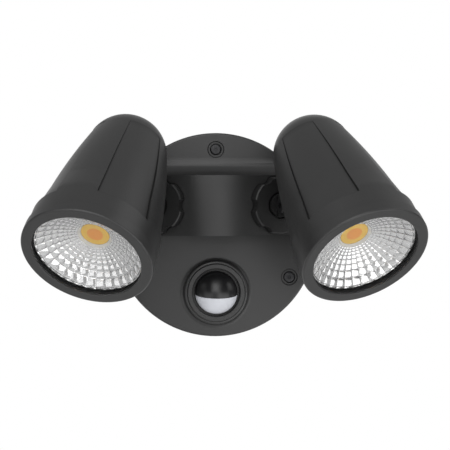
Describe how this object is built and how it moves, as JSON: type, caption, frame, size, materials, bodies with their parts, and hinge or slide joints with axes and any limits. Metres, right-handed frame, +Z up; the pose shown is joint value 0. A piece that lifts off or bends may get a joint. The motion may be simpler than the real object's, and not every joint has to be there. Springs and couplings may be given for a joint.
{
  "type": "motion sensor security light",
  "caption": "Outdoor security light: round wall canopy with a wedge block, two bullet spot heads on swivel-and-tilt knuckles and a motion sensor ball.",
  "frame": {"origin": "centre of the canopy's round outline, on the wall plane, midway between the two wall screw slots", "axes": "+Z up, +Y into the wall, +X to the right of a viewer who faces the light; the beams leave towards -Y"},
  "size_m": [0.256, 0.153, 0.151],
  "materials": {
    "housing_black": "satin",
    "knuckle_black": "satin",
    "ring_black": "satin",
    "collar_black": "satin",
    "ball_black": "gloss",
    "lens_white": "satin",
    "gasket_black": "matte",
    "foam_grey": "matte",
    "screw_black": "satin",
    "zinc_steel": "satin",
    "bolt_black": "satin",
    "cast_plate": "satin",
    "clear_glass": "gloss",
    "reflector_silver": "gloss",
    "chip_white": "satin",
    "phosphor_yellow": "satin",
    "holder_white": "satin",
    "board_green": "satin",
    "driver_black": "matte",
    "terminal_white": "satin",
    "relay_blue": "satin",
    "detector_can": "satin",
    "washer_nylon": "satin"
  },
  "bodies": {
    "canopy": {"mounting_bracket": "zinc_steel", "wall_gasket": "foam_grey", "canopy_housing": "housing_black", "cover_screws": "screw_black", "cable_grommet": "gasket_black", "led_driver": "driver_black", "terminal_block": "terminal_white", "control_board": "board_green", "relay": "relay_blue", "sensor_collar": "collar_black", "sensor_seal": "gasket_black", "left_swivel_washer": "washer_nylon", "right_swivel_washer": "washer_nylon"},
    "sensor": {"sensor_ball": "ball_black", "sensor_lens": "lens_white", "sensor_board": "board_green", "infrared_detector": "detector_can"},
    "left_ring": {"left_lock_ring": "ring_black"},
    "left_arm": {"left_swivel_arm": "knuckle_black", "left_retaining_ring": "zinc_steel", "left_knuckle_bolt": "bolt_black", "left_knuckle_washer": "washer_nylon", "left_knuckle_nut": "bolt_black"},
    "left_head": {"left_head_housing": "housing_black", "left_front_ring": "housing_black", "left_front_gasket": "gasket_black", "left_glass": "clear_glass", "left_glass_seal": "gasket_black", "left_reflector": "reflector_silver", "left_phosphor": "phosphor_yellow", "left_chip_board": "chip_white", "left_clamp_ring": "holder_white", "left_clamp_screws": "zinc_steel", "left_heat_spreader": "cast_plate"},
    "right_ring": {"right_lock_ring": "ring_black"},
    "right_arm": {"right_swivel_arm": "knuckle_black", "right_retaining_ring": "zinc_steel", "right_knuckle_bolt": "bolt_black", "right_knuckle_washer": "washer_nylon", "right_knuckle_nut": "bolt_black"},
    "right_head": {"right_head_housing": "housing_black", "right_front_ring": "housing_black", "right_front_gasket": "gasket_black", "right_glass": "clear_glass", "right_glass_seal": "gasket_black", "right_reflector": "reflector_silver", "right_phosphor": "phosphor_yellow", "right_chip_board": "chip_white", "right_clamp_ring": "holder_white", "right_clamp_screws": "zinc_steel", "right_heat_spreader": "cast_plate"}
  },
  "joints": [
    {"name": "sensor_tilt", "type": "hinge", "parent": "canopy", "child": "sensor", "pos_m": [0, -0.0215, -0.0395], "axis": [1, 0, 0], "range_deg": [-15, 15]},
    {"name": "left_lock_turn", "type": "hinge", "parent": "canopy", "child": "left_ring", "pos_m": [-0.04, -0.029, 0.0205], "axis": [-0.3851, -0.9229, 0], "range_deg": [0, 60]},
    {"name": "left_swivel", "type": "hinge", "parent": "canopy", "child": "left_arm", "pos_m": [-0.04, -0.029, 0.0205], "axis": [-0.3851, -0.9229, 0], "range_deg": [-90, 30]},
    {"name": "left_tilt", "type": "hinge", "parent": "left_arm", "child": "left_head", "pos_m": [-0.04693, -0.04561, 0.0205], "axis": [0.9229, -0.3851, 0], "range_deg": [-10, 30]},
    {"name": "right_lock_turn", "type": "hinge", "parent": "canopy", "child": "right_ring", "pos_m": [0.04, -0.029, 0.0205], "axis": [0.3851, -0.9229, 0], "range_deg": [0, 60]},
    {"name": "right_swivel", "type": "hinge", "parent": "canopy", "child": "right_arm", "pos_m": [0.04, -0.029, 0.0205], "axis": [0.3851, -0.9229, 0], "range_deg": [-30, 90]},
    {"name": "right_tilt", "type": "hinge", "parent": "right_arm", "child": "right_head", "pos_m": [0.04693, -0.04561, 0.0205], "axis": [0.9229, 0.3851, 0], "range_deg": [-10, 30]}
  ]
}
